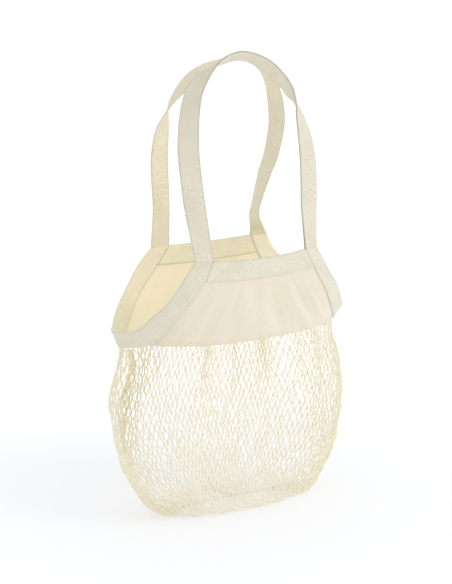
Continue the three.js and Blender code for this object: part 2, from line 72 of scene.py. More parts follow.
# handles from left foot to right foot: share of handleDrop, handleSpan and handleDepth,
# then the turn of the outer face in degrees
frontHandleRows = np.array([
    [0.0, -1.0, -1.0, 74], [0.139, -1.028, -0.891, 72], [0.322, -1.066, -0.748, 66],
    [0.537, -1.072, -0.58, 54], [0.632, -1.044, -0.505, 44], [0.752, -0.978, -0.412, 31],
    [0.856, -0.867, -0.33, 20], [0.938, -0.674, -0.266, 5], [0.983, -0.475, -0.229, -16],
    [1.005, -0.305, -0.217, -31], [1.025, -0.066, -0.217, -34], [1.023, 0.114, -0.217, -28],
    [1.0, 0.362, -0.217, -21], [0.961, 0.548, -0.238, -20], [0.901, 0.734, -0.287, -14],
    [0.848, 0.857, -0.328, -4], [0.799, 0.922, -0.369, 8], [0.758, 0.985, -0.403, 26],
    [0.709, 1.036, -0.445, 48], [0.592, 1.094, -0.537, 70], [0.456, 1.11, -0.643, 82],
    [0.254, 1.053, -0.802, 84], [0.12, 0.995, -0.906, 79], [0.0, 1.0, -1.0, 74],
])
backHandleRows = np.array([
    [0.0, -0.931, 0.877, -76], [0.064, -0.945, 0.835, -80], [0.266, -1.014, 0.701, -82],
    [0.481, -1.098, 0.56, -84], [0.636, -1.1, 0.457, -70], [0.715, -1.054, 0.405, -46],
    [0.78, -0.982, 0.364, -22], [0.852, -0.818, 0.318, -3], [0.922, -0.622, 0.271, 3],
    [0.965, -0.398, 0.242, 2], [0.99, -0.179, 0.224, -3], [1.002, 0.083, 0.217, -4],
    [0.996, 0.322, 0.218, -5], [0.969, 0.57, 0.236, -5], [0.918, 0.766, 0.269, -3],
    [0.85, 0.893, 0.314, -5], [0.765, 0.988, 0.37, -12], [0.67, 1.05, 0.433, -15],
    [0.587, 1.062, 0.488, -12], [0.449, 1.013, 0.58, -8], [0.35, 0.924, 0.646, -2],
    [0.203, 0.832, 0.743, 10], [0.126, 0.812, 0.794, 8], [0.05, 0.855, 0.845, -20],
    [0.0, 0.931, 0.877, -60],
])


# a smooth curve through a table's rows, with each span cut in steps
def smoothRows(rows, steps):
    padded = np.vstack([rows[:1], rows, rows[-1:]])
    out = []
    for i in range(len(rows) - 1):
        a, b, c, d = padded[i:i + 4]
        for t in np.arange(steps) / steps:
            bend = 2 * a - 5 * b + 4 * c - d
            twist = 3 * b - a - 3 * c + d
            out.append(0.5 * (2 * b + (c - a) * t + bend * t * t + twist * t ** 3))
    out.append(rows[-1])
    return np.array(out)


tableSteps = 4  # steps in each span of a smoothed table
sideFine = {-1: smoothRows(leftRows, tableSteps), 1: smoothRows(rightRows, tableSteps)}
lastStation = len(leftRows) - 1


# free and sewn edge of the left (-1) or right (1) opening at a station
def sideEdges(station, side):
    at = np.clip(station, 0, lastStation) * tableSteps
    rows = sideFine[side]
    low = int(min(at, len(rows) - 2))
    row = rows[low] + (rows[low + 1] - rows[low]) * (at - low)
    scale = [side * bag["mouthHalf"], bag["mouthDepth"], -bag["panelDrop"]]
    foot = np.array([0, 0, -bag["handleDrop"]])
    return row[:3] * scale + foot, row[3:] * scale + foot


# station where the sewn edge is so far below the panels' top edge, found by halving
def stationAtDrop(drop, back):
    low, high = (lastStation / 2, lastStation) if back else (0, lastStation / 2)
    for _ in range(30):
        middle = (low + high) / 2
        below = -bag["handleDrop"] - sideEdges(middle, 1)[1][2] > drop
        low, high = (low, middle) if below != back else (middle, high)
    return (low + high) / 2


def panelDepth(back):
    return bag["backDepth"] if back else bag["frontDepth"]


# station of a panel's lower corners, where the side tapes go on alone
def seamAt(back):
    return lastStation - bag["seamStation"] if back else bag["seamStation"]


# a point of a panel's middle surface, on the row that meets the sewn edges at a station
def rowPoint(station, share, back):
    left, right = sideEdges(station, -1)[1], sideEdges(station, 1)[1]
    railHalf = (right[0] - left[0]) / 2
    depth = panelDepth(back)
    reach = min(abs(right[1]) / depth, 0.999)
    half = railHalf / (1 - reach ** bag["square"]) ** (1 / bag["square"])
    start = math.acos(min((railHalf / half) ** (bag["square"] / 2), 1))
    angle = math.pi / 2 - share * (math.pi / 2 - start)
    c = math.cos(angle)
    x = math.copysign(half * abs(c) ** (2 / bag["square"]), c)
    y = depth * math.sin(angle) ** (2 / bag["square"])
    sag = bag["edgeSag"] * (1 - (x / railHalf) ** 2)
    return np.array([(left[0] + right[0]) / 2 + x, y if back else -y, right[2] - sag])


def unit(vector):
    return vector / np.linalg.norm(vector)


# the way a panel or the net faces at a point
def outwardAt(point):
    return unit(np.array([point[0] * 0.3, point[1], 0]))


def addObject(name, data):
    made = bpy.data.objects.new(name, data)
    bpy.context.scene.collection.objects.link(made)
    return made


def finishPiece(name, bm, materials):
    mesh = bpy.data.meshes.new(name)
    bm.to_mesh(mesh)
    bm.free()
    piece = addObject(name, mesh)
    for made in materials:
        mesh.materials.append(made)
    mesh.polygons.foreach_set("use_smooth", [True] * len(mesh.polygons))
    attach(piece, "root")
    return piece


# one mesh from arrays, for shapes that are repeated hundreds of times
def meshFromArrays(name, points, corners, starts, totals, material):
    mesh = bpy.data.meshes.new(name)
    mesh.vertices.add(len(points))
    mesh.vertices.foreach_set("co", points.ravel())
    mesh.loops.add(len(corners))
    mesh.loops.foreach_set("vertex_index", corners)
    mesh.polygons.add(len(starts))
    mesh.polygons.foreach_set("loop_start", starts)
    mesh.polygons.foreach_set("loop_total", totals)
    mesh.polygons.foreach_set("use_smooth", np.ones(len(starts), bool))
    mesh.update(calc_edges=True)
    mesh.materials.append(material)
    return mesh


# a grid whose points a function places, with a UV map of the given size
def clothGrid(across, along, place, sizeUV):
    bm = bmesh.new()
    layer = bm.loops.layers.uv.new("UVMap")
    bmesh.ops.create_grid(bm, x_segments=across, y_segments=along, size=0.5, calc_uvs=True)
    for face in bm.faces:
        for loop in face.loops:
            u, v = loop.vert.co.x + 0.5, loop.vert.co.y + 0.5
            loop[layer].uv = (u * sizeUV[0], v * sizeUV[1])
    for vert in bm.verts:
        u, v = vert.co.x + 0.5, vert.co.y + 0.5
        vert.co = Vector(place(u, v)) * mm
    return bm


# both faces lie half the thickness from the middle surface
def addThickness(piece, thickness, inner=0):
    solid = piece.modifiers.new("thickness", "SOLIDIFY")
    solid.thickness = thickness * mm
    solid.offset = 0.0
    solid.use_even_offset = True
    solid.material_offset = inner
    solid.material_offset_rim = 0
    piece.modifiers.new("normals", "WEIGHTED_NORMAL").weight = 80


print("sizes and helpers ready")


# a screen colour in the shader's own linear values
def linear(r, g, b):
    return [((c / 255 + 0.055) / 1.055) ** 2.4 for c in (r, g, b)] + [1.0]


# builds one material node by node
class Shader:
    def __init__(self, name, roughness=0.9, sheen=0.25, through=0.0, glow=0.0):
        self.material = bpy.data.materials.new(name)
        self.material.use_nodes = True
        self.tree = self.material.node_tree
        self.surface = self.tree.nodes["Principled BSDF"]
        self.surface.inputs["Roughness"].default_value = roughness
        self.surface.inputs["Sheen Weight"].default_value = sheen
        self.surface.inputs["Sheen Roughness"].default_value = 0.6
        self.surface.inputs["Specular IOR Level"].default_value = 0.15
        self.surface.inputs["Subsurface Weight"].default_value = through
        self.surface.inputs["Subsurface Radius"].default_value = (1.0, 0.95, 0.85)
        self.surface.inputs["Subsurface Scale"].default_value = 0.002
        # painted light: a warm glow that lightens a surface though it is no lamp
        self.surface.inputs["Emission Color"].default_value = (1.0, 0.93, 0.78, 1)
        self.surface.inputs["Emission Strength"].default_value = glow

    def node(self, kind, values=None, **settings):
        made = self.tree.nodes.new("ShaderNode" + kind)
        for key, value in settings.items():
            setattr(made, key, value)
        for key, value in (values or {}).items():
            if isinstance(value, bpy.types.NodeSocket):
                self.tree.links.new(value, made.inputs[key])
            else:
                made.inputs[key].default_value = value
        return made

    def math(self, operation, *values):
        return self.node("Math", dict(enumerate(values)), operation=operation).outputs[0]

    # the colour Mix node's sockets go by number, since their names repeat
    def blend(self, factor, a, b):
        made = self.tree.nodes.new("ShaderNodeMix")
        made.data_type = "RGBA"
        sockets = [made.inputs[0], made.inputs[6], made.inputs[7]]
        for socket, value in zip(sockets, (factor, a, b)):
            if isinstance(value, bpy.types.NodeSocket):
                self.tree.links.new(value, socket)
            else:
                socket.default_value = value
        return made.outputs[2]

    def noise(self, vector, scale, detail=3.0, rough=0.55):
        return self.node(
            "TexNoise", {"Vector": vector, "Scale": scale, "Detail": detail, "Roughness": rough}
        ).outputs["Fac"]

    def stretch(self, vector, x, y):
        return self.node("Mapping", {"Vector": vector, "Scale": (x, y, 1.0)}).outputs[0]

    def ramp(self, value, low, high, start=0.0, end=1.0):
        values = {0: value, 1: low, 2: high, 3: start, 4: end}
        return self.node("MapRange", values).outputs[0]

    def paint(self, colour, height, strength, distance):
        bump = self.node("Bump", {"Height": height, "Strength": strength, "Distance": distance})
        self.tree.links.new(bump.outputs[0], self.surface.inputs["Normal"])
        self.tree.links.new(colour, self.surface.inputs["Base Color"])
        return self.material


# thread width in metres; how closely slubs and cloudy tones lie, across and along
wovenCloth = {
    "thread": 0.00075, "slub": (1400, 90), "cloud": (34, 9),
    "through": 0.3, "tones": (0.5, 1.0), "bump": 0.35, "relief": 0.0002,
}


# plain weave: warp and weft waves that pass over and under each other, with slubs
def makeCloth(name, light, shade, glow=0.0):
    s = Shader(name, through=wovenCloth["through"], glow=glow)
    uv = s.node("UVMap", uv_map="UVMap").outputs[0]
    parts = s.node("SeparateXYZ", {0: uv}).outputs
    beat = math.pi / wovenCloth["thread"]
    warp = s.math("SINE", s.math("MULTIPLY", parts[0], beat))
    weft = s.math("SINE", s.math("MULTIPLY", parts[1], beat))
    checker = s.math("MULTIPLY", warp, weft)
    many, few = wovenCloth["slub"]
    slubAlong = s.noise(s.stretch(uv, many, few), 1.0, 2.0)
    slubAcross = s.noise(s.stretch(uv, few, many), 1.0, 2.0)
    slub = s.math("ADD", slubAlong, slubAcross)
    height = s.math("ADD", s.math("MULTIPLY", checker, 0.5), s.math("MULTIPLY", slub, 0.8))
    cloud = s.noise(s.stretch(uv, *wovenCloth["cloud"]), 1.0, 3.0)
    tone = s.math("MULTIPLY_ADD", slub, 0.45, s.math("MULTIPLY", cloud, 0.5))
    spread = s.ramp(tone, *wovenCloth["tones"])
    colour = s.blend(spread, linear(*shade), linear(*light))
    return s.paint(colour, height, wovenCloth["bump"], wovenCloth["relief"])


# in metres: rib and thread pitch, half a zigzag, the whole width laid flat, and where the
# selvedge and the painted shade line beside it end
twillTape = {
    "rib": 0.0024, "thread": 0.0009, "zig": 0.0075, "flat": 0.062,
    "selvedge": (0.0008, 0.0018), "edgeShade": (0.0018, 0.003), "grain": (640, 520),
    "tones": (1.0, 1.5), "bump": 0.5, "relief": 0.0003,
}


# herringbone twill: fine slanted ribs that turn back every few millimetres across the tape
def makeTape(name, light, shade, glow=0.0, edge=0.1):
    s = Shader(name, glow=glow)
    uv = s.node("UVMap", uv_map="UVMap").outputs[0]
    parts = s.node("SeparateXYZ", {0: uv}).outputs
    zig = s.math("PINGPONG", parts[0], twillTape["zig"])
    slant = s.math("ADD", parts[1], zig)
    rib = s.math("SINE", s.math("MULTIPLY", slant, 2 * math.pi / twillTape["rib"]))
    thread = s.math("SINE", s.math("MULTIPLY", parts[0], 2 * math.pi / twillTape["thread"]))
    grain = s.noise(s.stretch(uv, *twillTape["grain"]), 1.0, 3.0, 0.8)
    fromEdge = s.math("PINGPONG", parts[0], twillTape["flat"] / 2)
    selvedge = s.ramp(fromEdge, *twillTape["selvedge"], 1.0, 0.0)
    edgeShade = s.ramp(fromEdge, *twillTape["edgeShade"], 1.0, 0.0)
    edgeShade = s.math("MULTIPLY", edgeShade, s.math("SUBTRACT", 1.0, selvedge))
    height = s.math("ADD", s.math("MULTIPLY", rib, 0.45), s.math("MULTIPLY", grain, 1.2))
    height = s.math("MULTIPLY_ADD", thread, 0.12, height)
    height = s.math("MULTIPLY_ADD", selvedge, 1.0, height)
    cloud = s.noise(uv, 30.0, 3.0)
    tone = s.math("MULTIPLY_ADD", rib, 0.2, s.math("MULTIPLY", grain, 2.2))
    tone = s.math("MULTIPLY_ADD", cloud, 0.4, tone)
    tone = s.math("MULTIPLY_ADD", selvedge, edge, tone)
    # painted shade: a darker line just inside each selvedge
    tone = s.math("MULTIPLY_ADD", edgeShade, -0.12, tone)
    spread = s.ramp(tone, *twillTape["tones"])
    colour = s.blend(spread, linear(*shade), linear(*light))
    return s.paint(colour, height, twillTape["bump"], twillTape["relief"])


# how closely ply lines, fuzz and cloudy tones lie on the string
twistedString = {
    "plies": 1400.0, "slant": 12.566, "fuzz": 900.0, "cloud": 35.0,
    "tones": (0.25, 0.85), "bump": 0.5, "relief": 0.0002,
}


# twisted cotton string: slanted ply lines round the yarn, soft fuzz, painted shade in creases
def makeString(name, light, shade, deep, glow):
    s = Shader(name, roughness=0.85, sheen=0.3, glow=glow)
    uv = s.node("UVMap", uv_map="UVMap").outputs[0]
    parts = s.node("SeparateXYZ", {0: uv}).outputs
    place = s.node("TexCoord").outputs["Object"]
    slant = s.math("MULTIPLY", parts[0], twistedString["slant"])
    ply = s.math("SINE", s.math("MULTIPLY_ADD", parts[1], twistedString["plies"], slant))
    fuzz = s.noise(place, twistedString["fuzz"], 2.0)
    cloud = s.noise(place, twistedString["cloud"], 3.0)
    height = s.math("ADD", s.math("MULTIPLY", ply, 0.5), fuzz)
    tone = s.math("MULTIPLY_ADD", ply, 0.12, s.math("MULTIPLY", cloud, 1.1))
    spread = s.ramp(tone, *twistedString["tones"])
    colour = s.blend(spread, linear(*shade), linear(*light))
    creaseShade = s.node("Attribute", attribute_name="creaseShade").outputs["Fac"]
    colour = s.blend(creaseShade, colour, linear(*deep))  # painted shade: yarn in the gathers' creases is darker and warmer
    return s.paint(colour, height, twistedString["bump"], twistedString["relief"])


# sewing thread and its fuzz
def makeThread(name, light, shade):
    s = Shader(name, roughness=0.8, sheen=0.3)
    place = s.node("TexCoord").outputs["Object"]
    fuzz = s.noise(place, 2500.0, 2.0)
    colour = s.blend(s.noise(place, 160.0, 2.0), linear(*shade), linear(*light))
    return s.paint(colour, fuzz, 0.4, 0.0001)


# light and dark tone, painted glow, and how much lighter a tape's selvedge is; the inner faces
# are painted lighter than the outer ones and glow, painted light for light through the cotton
outerCloth = makeCloth("outerCloth", (236, 229, 212), (220, 211, 190))
innerCloth = makeCloth("innerCloth", (250, 240, 215), (240, 227, 197), 0.02)
outerTape = makeTape("outerTape", (238, 234, 218), (200, 193, 167))
innerTape = makeTape("innerTape", (248, 242, 218), (218, 209, 176), 0.035, -0.6)
# the two handles are one tape, painted in different tones and glows as light falls on them
frontHandleTwill = makeTape("frontHandleTwill", (236, 231, 213), (198, 191, 166), 0.01, -0.25)
backHandleTwill = makeTape("backHandleTwill", (240, 233, 210), (206, 197, 165), 0.02, -0.25)
# the string glows with painted light that lightens the net where it lies in shade
netString = makeString("netString", (250, 245, 226), (241, 234, 209), (218, 204, 146), 0.035)
seamThread = makeThread("seamThread", (243, 237, 220), (222, 214, 192))
print("materials ready")


# camera at the photograph's angle
view = {
    "target": (-12, 0, -346), "turn": 33, "lift": 13, "distance": 2800,
    "lens": 115.07, "sensor": 36, "clipEnd": 20,
}


def makeCamera():
    turn, lift = math.radians(view["turn"]), math.radians(view["lift"])
    level = math.cos(lift)
    back = Vector((-math.sin(turn) * level, -math.cos(turn) * level, math.sin(lift)))
    data = bpy.data.cameras.new("camera")
    data.lens = view["lens"]
    data.sensor_width = view["sensor"]
    data.clip_end = view["clipEnd"]
    camera = addObject("camera", data)
    camera.location = (Vector(view["target"]) + back * view["distance"]) * mm
    camera.rotation_euler = (-back).to_track_quat("-Z", "Y").to_euler()
    bpy.context.scene.camera = camera


makeCamera()
print("camera ready")


# panels' folds: share across, height as a share of the panel's depth, width, strongest row
panelFolds = {
    "front": [
        (-0.52, -0.03, 0.09, 0.75), (-0.2, 0.024, 0.1, 0.35), (0.12, -0.028, 0.07, 0.7),
        (0.36, 0.04, 0.07, 0.45), (0.5, -0.045, 0.06, 0.5), (0.66, 0.038, 0.06, 0.55),
    ],
    "back": [
        (-0.55, 0.025, 0.1, 0.5), (-0.3, -0.028, 0.09, 0.5), (0.05, 0.021, 0.12, 0.6),
        (0.4, -0.031, 0.1, 0.45),
    ],
}
# in mm, but the weave's map and the flat cuts are in metres
panel = {
    "thick": 0.8, "tuck": 9.5, "across": 150, "rows": 56, "topRows": 4, "foldReach": 0.35,
    "pucker": 0.5, "puckerWaves": (47, 31), "weave": (0.46, 0.115),
    "frontCut": (0.352, 0.112), "backCut": (0.352, 0.11),
}


# the folds lie down towards the panel's edges
def foldHeight(back, share, row):
    height = 0.0
    for at, depth, width, strongest in panelFolds["back" if back else "front"]:
        away, below = (share - at) / width, (row - strongest) / panel["foldReach"]
        height += depth * math.exp(-away ** 2 - below ** 2)
    fade = min(row * 6, 1) * min((1 - row) * 8, 1) * min((1 - abs(share)) * 6, 1)
    return height * max(fade, 0) * panelDepth(back)


def makePanel(back):
    top = lastStation if back else 0
    low = stationAtDrop(bag["bandHeight"], back)
    start = stationAtDrop(bag["bandHeight"] - panel["tuck"], back)
    end = seamAt(back)
    columns, rows, topRows = panel["across"], panel["rows"], panel["topRows"]
    firstWave, secondWave = panel["puckerWaves"]

    # the first rows go up into the top band, the outer columns into the side tapes
    def place(u, v):
        i = round((1 - v) * rows)
        j = round(u * columns)
        if i < topRows:
            station, row = start + (low - start) * i / topRows, 0
        else:
            row = (i - topRows) / (rows - topRows)
            station = low + (end - low) * row
        if j in (0, columns):
            free, sewn = sideEdges(station, -1 if j == 0 else 1)
            tuck = panel["tuck"] * min(abs(station - lastStation / 2) / 2 + 0.08, 1)
            return sewn + (free - sewn) * tuck / bag["tapeWidth"]
        share = 2 * (j - 1) / (columns - 2) - 1
        point = rowPoint(station, share, back)
        if i < topRows:
            upper, lower = rowPoint(top, share, back), rowPoint(low, share, back)
            point = upper + (lower - upper) * (point[2] - upper[2]) / -bag["bandHeight"]
        pucker = panel["pucker"] * math.sin(share * firstWave) * math.sin(share * secondWave + 2)
        pucker = pucker * max(row - 0.75, 0) * 4  # only near the net
        fade = min((1 - row) * 12, 1) * min((1 - abs(share)) * 8, 1)
        return point + outwardAt(point) * (foldHeight(back, share, row) + pucker * fade)

    bm = clothGrid(columns, rows, place, panel["weave"])
    name = "backCloth" if back else "frontCloth"
    area = sum(face.calc_area() for face in bm.faces)
    piece = finishPiece(name, bm, [outerCloth, innerCloth])
    if back:
        piece.data.flip_normals()
    addThickness(piece, panel["thick"], inner=1)
    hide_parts("back_panel" if back else "front_panel")
    print(name, "area", round(area, 4), "m2")


makePanel(False)
makePanel(True)
print("panels ready")


# folded tapes: two walls round the panel's edge, joined by a rounded fold at the free edge
folded = {
    "wall": 0.9, "gap": 1.15, "across": 30, "sideSteps": 180, "bandSteps": 60,
    "inset": 0.3, "lowInset": 4.4, "lowReach": 1.1, "cornerGap": 0.15, "handleGap": 0.62,
}


# the way that the tape's first wall faces at one of its pairs of edge points
def wallNormal(pairs, i):
    ahead, behind = pairs[min(i + 1, len(pairs) - 1)], pairs[max(i - 1, 0)]
    return unit(np.cross(sum(ahead) - sum(behind), pairs[i][1] - pairs[i][0]))


# u runs up the first wall from the sewn edge, round the fold and down the second wall
def foldedPlace(pairs, gaps, u, v):
    i = round(v * (len(pairs) - 1))
    a, b = pairs[i]
    width = np.linalg.norm(b - a)
    across = (b - a) / width
    normal = wallNormal(pairs, i)
    g = gaps[i]
    arc = math.pi * g
    run = u * (2 * (width - g) + arc)
    if run < width - g:
        return b - across * run + normal * g
    run -= width - g
    if run < arc:
        angle = run / g
        return a + across * (g - g * math.sin(angle)) + normal * g * math.cos(angle)
    run -= arc
    return a + across * (g + run) - normal * g


def makeFolded(name, pairs, node, flip, gaps=None, twill=None):
    lengths = [np.linalg.norm(sum(q) / 2 - sum(p) / 2) for p, q in zip(pairs, pairs[1:])]
    size = (twillTape["flat"], sum(lengths) * mm)
    gaps = [folded["gap"]] * len(pairs) if gaps is None else gaps
    rows = len(pairs) - 1
    bm = clothGrid(folded["across"], rows, lambda u, v: foldedPlace(pairs, gaps, u, v), size)
    layer = bm.loops.layers.uv.active
    for face in bm.faces:
        middle = sum(loop[layer].uv.x for loop in face.loops) / len(face.loops)
        face.material_index = int((middle > size[0] / 2) == flip)
    area = sum(face.calc_area() for face in bm.faces)
    piece = finishPiece(name, bm, [twill or outerTape, twill or innerTape])
    if flip:
        piece.data.flip_normals()
    addThickness(piece, folded["wall"])
    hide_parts(node)
    print(name, "cut", round(size[1], 3), "m long, area", round(area, 4), "m2")


# a side tape is narrower than its two edges are apart, most at its lowest point
def sidePairs(side):
    pairs = []
    for i in range(folded["sideSteps"] + 1):
        station = lastStation * i / folded["sideSteps"]
        free, sewn = sideEdges(station, side)
        lowest = math.exp(-((station - lastStation / 2) / folded["lowReach"]) ** 2)
        inset = folded["inset"] + folded["lowInset"] * lowest
        pairs.append([free, sewn + (free - sewn) * inset / bag["tapeWidth"]])
    return pairs


def bandPairs(back):
    top = lastStation if back else 0
    low = stationAtDrop(bag["bandHeight"], back)
    pairs = []
    for i in range(folded["bandSteps"] + 1):
        share = 2 * i / folded["bandSteps"] - 1
        upper, lower = rowPoint(top, share, back), rowPoint(low, share, back)
        for point, station in ((upper, top), (lower, low)):
            point[0] *= 1 - folded["cornerGap"] / abs(rowPoint(station, 1, back)[0])
        pairs.append([upper, lower])
    return pairs


# edges, the solid that the tape replaces, and whether its first wall is the outer one
foldedTapes = {
    "leftSide": (sidePairs(-1), "left_side_binding", True),
    "rightSide": (sidePairs(1), "right_side_binding", False),
    "frontBand": (bandPairs(False), "front_top_band", False),
    "backBand": (bandPairs(True), "back_top_band", True),
}
for name, (pairs, node, flip) in foldedTapes.items():
    makeFolded(name + "Tape", pairs, node, flip)
print("folded tapes ready")


# handles: the side tapes' own ends, folded double and sewn shut
handle = {"steps": 8, "footRows": 22, "footGap": 0.03, "easeRows": 14}


def handlePairs(rows, back):
    fine = smoothRows(rows, handle["steps"])
    scale = [bag["handleSpan"], bag["handleDepth"]]
    centres = np.column_stack(
        [fine[:, 1] * scale[0], fine[:, 2] * scale[1], (fine[:, 0] - 1) * bag["handleDrop"]]
    )
    last = len(centres) - 1
    pairs = []
    for i, centre in enumerate(centres):
        along = unit(centres[min(i + 1, last)] - centres[max(i - 1, 0)])
        front = np.array([0, -1.0, 0])
        front = unit(front - along * (front @ along))
        outward = np.cross(front, along)
        turn = math.radians(fine[i][3])
        normal = outward * math.cos(turn) + front * math.sin(turn)
        across = np.cross(along, normal) * bag["tapeWidth"] / 2
        pairs.append([centre - across, centre + across])
    # each foot runs straight into the slant of the side tape
    corner = lastStation if back else 0
    ease = handle["easeRows"]
    for side, row, step in ((-1, 0, 1), (1, last, -1)):
        free, sewn = (edge + [0, 0, handle["footGap"]] for edge in sideEdges(corner, side))
        foot, upper = [sewn, free] if back else [free, sewn], pairs[row + ease * step]
        for k in range(ease):
            pairs[row + k * step] = [
                low + (high - low) * k / ease for low, high in zip(foot, upper)
            ]
    return pairs


# the tape opens a little towards its feet, where it takes in the panel
def makeHandle(name, rows, back, node):
    pairs = handlePairs(rows, back)
    if back:
        pairs = [[free, sewn] for sewn, free in pairs]
    n = len(pairs) - 1
    gaps = []
    for i in range(n + 1):
        foot = max(1 - min(i, n - i) / handle["footRows"], 0)
        gaps.append(folded["handleGap"] + (folded["gap"] - folded["handleGap"]) * foot ** 2)
    makeFolded(name, pairs, node, back, gaps, backHandleTwill if back else frontHandleTwill)


makeHandle("frontHandleTape", frontHandleRows, False, "front_handle")
makeHandle("backHandleTape", backHandleRows, True, "back_handle")
print("handles ready")


# net sack: share of the way down a yarn, share of netDrop, of netHalfWidth and netHalfDepth,
# power of the rounded outline, shift to the right as a share of netHalfWidth
netRows = np.array([
    [0.0, 0.0, 0.951, 0.887, 2.5, -0.057], [0.06, 0.06, 0.938, 0.905, 2.5, -0.052],
    [0.15, 0.165, 0.959, 0.952, 2.45, -0.04], [0.25, 0.29, 0.99, 0.99, 2.4, -0.045],
    [0.36, 0.43, 1.0, 1.0, 2.4, -0.047], [0.48, 0.58, 0.972, 0.99, 2.4, -0.044],
    [0.6, 0.735, 0.926, 0.95, 2.4, -0.031], [0.72, 0.88, 0.829, 0.87, 2.4, -0.016],
    [0.79, 0.957, 0.76, 0.8, 2.35, -0.012], [0.84, 0.992, 0.705, 0.75, 2.3, -0.005],
    [0.92, 1.0, 0.6, 0.4, 2.2, 0.0], [1.0, 1.0, 0.5, 0.012, 2.1, 0.0],
])
# the sack's folds: share round from the left end over the front, height as a share of
# netHalfDepth, width, first and last share down
netFolds = [
    (0.028, -0.131, 0.016, 0.0, 0.5), (0.065, 0.071, 0.02, 0.05, 0.6),
    (0.97, 0.14, 0.035, -0.05, 0.34),
    (0.215, -0.083, 0.016, 0.0, 0.3), (0.29, -0.083, 0.014, 0.0, 0.28),
    (0.4, -0.071, 0.02, 0.0, 0.4), (0.455, 0.06, 0.02, 0.1, 0.7), (0.6, -0.083, 0.022, 0.0, 0.5),
    (0.73, -0.071, 0.018, 0.0, 0.35), (0.86, -0.083, 0.02, 0.0, 0.45),
    (0.13, -0.06, 0.05, 0.5, 0.95), (0.37, -0.071, 0.035, 0.6, 0.95),
]
net = {
    "columns": 112, "rings": 28, "radius": 0.66, "knot": 1.15, "knotApart": 0.8, "sides": 5,
    "jitter": 0.1, "bulge": 0.8, "topBlend": 0.35, "seed": 7,
    "thinFrom": 0.8, "thinOver": 0.15, "thinBy": 0.45, "sectionLength": 0.0019,
}


# rounded plan outline, deeper in front than behind as the panels are
def outline(angle, half, depth, power):
    c, s = np.cos(angle), np.sin(angle)
    x = -np.sign(c) * half * np.abs(c) ** (2 / power)
    reach = np.where(s > 0, bag["frontDepth"], bag["backDepth"])
    lean = 2 * reach / (bag["frontDepth"] + bag["backDepth"])
    return x, -np.sign(s) * depth * lean * np.abs(s) ** (2 / power)


# share round the sack against the outline's own angle
def fairTable(steps=720):
    angle = np.linspace(0, 2 * math.pi, steps + 1)
    x, y = outline(angle, bag["netHalfWidth"], bag["netHalfDepth"], bag["square"])
    length = np.r_[0, np.cumsum(np.hypot(np.diff(x), np.diff(y)))]
    return length / length[-1], angle


fairShare, fairAngle = fairTable()
netFine = smoothRows(netRows, tableSteps)


# the net's upper edge, under the cloths and between their corners under the side bindings
def upperEdge():
    rounds, points = [], []
    for back in (False, True):
        corner = seamAt(back)
        ends = [lastStation / 2 + (corner - lastStation / 2) * i / 6 for i in range(6)]
        line = [sideEdges(station, -1)[1] for station in ends]
        line += [rowPoint(corner, i / 20 - 1, back) for i in range(41)]
        line += [sideEdges(station, 1)[1] for station in reversed(ends)]
        line = np.array(line[::-1] if back else line)
        length = np.r_[0, np.cumsum(np.linalg.norm(np.diff(line, axis=0), axis=1))]
        rounds.append((length / length[-1] + back) / 2)
        points.append(line)
    return np.concatenate(rounds), np.concatenate(points)


edgeShare, edgePoint = upperEdge()


def sackPoint(around, run):
    angle = np.interp(around, fairShare, fairAngle)
    drop, wide, deep, power, shift = (
        np.interp(run, netFine[:, 0], netFine[:, k]) for k in range(1, 6)
    )
    x, y = outline(angle, wide * bag["netHalfWidth"], deep * bag["netHalfDepth"], power)
    length = np.hypot(x, y)
    fold = np.zeros_like(length)
    for at, depth, width, first, last in netFolds:
        away = np.abs((around - at + 1.5) % 1 - 0.5)
        share = np.clip((run - first) / (last - first), 0, 1)
        fade = np.sin(np.pi * share) ** 0.7
        fold += depth * bag["netHalfDepth"] * np.exp(-(away / width) ** 2) * fade
    x, y = x * (length + fold) / length, y * (length + fold) / length
    z = -bag["handleDrop"] - bag["panelDrop"] - drop * bag["netDrop"]
    return np.stack([x + shift * bag["netHalfWidth"], y, z], -1)


# the sack's upper part is drawn to the edge that it is sewn to
def netPoint(around, run):
    around, run = around % 1, np.clip(run, 0, 1)
    edge = np.stack([np.interp(around, edgeShare, edgePoint[:, k]) for k in range(3)], -1)
    share = np.minimum(run / net["topBlend"], 1)
    pull = edge - sackPoint(around, np.zeros_like(run))
    return sackPoint(around, run) + pull * (1 - share ** 2 * (3 - 2 * share))[..., None]


# where the columns crowd together or spread: share round, squeeze, width share,
# first and last share down, how much painted shade darkens and warms the yarn there
netGathers = [
    (0.0, 0.42, 0.12, -0.6, 1.3, 0.1), (0.024, 1.3, 0.022, -0.2, 0.6, 0.7),
    (0.05, 1.2, 0.013, -0.12, 0.24, 0.9), (0.104, -1.1, 0.042, -0.3, 0.98, 0.0),
    (0.205, 0.5, 0.016, -0.16, 0.3, 0.5), (0.265, 0.5, 0.015, -0.14, 0.24, 0.5),
    (0.335, 0.4, 0.018, -0.1, 0.3, 0.2), (0.445, 0.5, 0.045, -0.4, 0.95, 0.25),
    (0.53, 0.5, 0.03, -0.3, 0.6, 0.2), (0.63, 0.6, 0.025, -0.2, 0.4, 0.4),
    (0.74, 0.6, 0.022, -0.2, 0.35, 0.4), (0.87, 0.6, 0.025, -0.2, 0.45, 0.4),
]
# rows sag where the net hangs slack; columns drift left at one place of the front, right at
# the other
netSlack = {
    "at": 0.106, "width": 0.055, "sag": 0.032, "wander": 0.003, "ripple": 0.005,
    "drift": 0.045, "driftWidth": 0.07, "left": 0.17, "right": 0.35,
}
# heights between two knots, and how far towards the next column a taut and a slack yarn is there
zigzag = {
    "heights": [0, 0.16, 0.38, 0.62, 0.84],
    "taut": [0, 0.12, 0.36, 0.64, 0.88],
    "slack": [0, 0.02, 0.1, 0.9, 0.98],
}


def gatherShare(around, run, at, width, first, last):
    away = (around - at + 0.5) % 1 - 0.5
    share = np.clip((run - first) / (last - first), 0, 1)
    return away, np.exp(-(away / width) ** 2) * np.sin(np.pi * share) ** 0.7


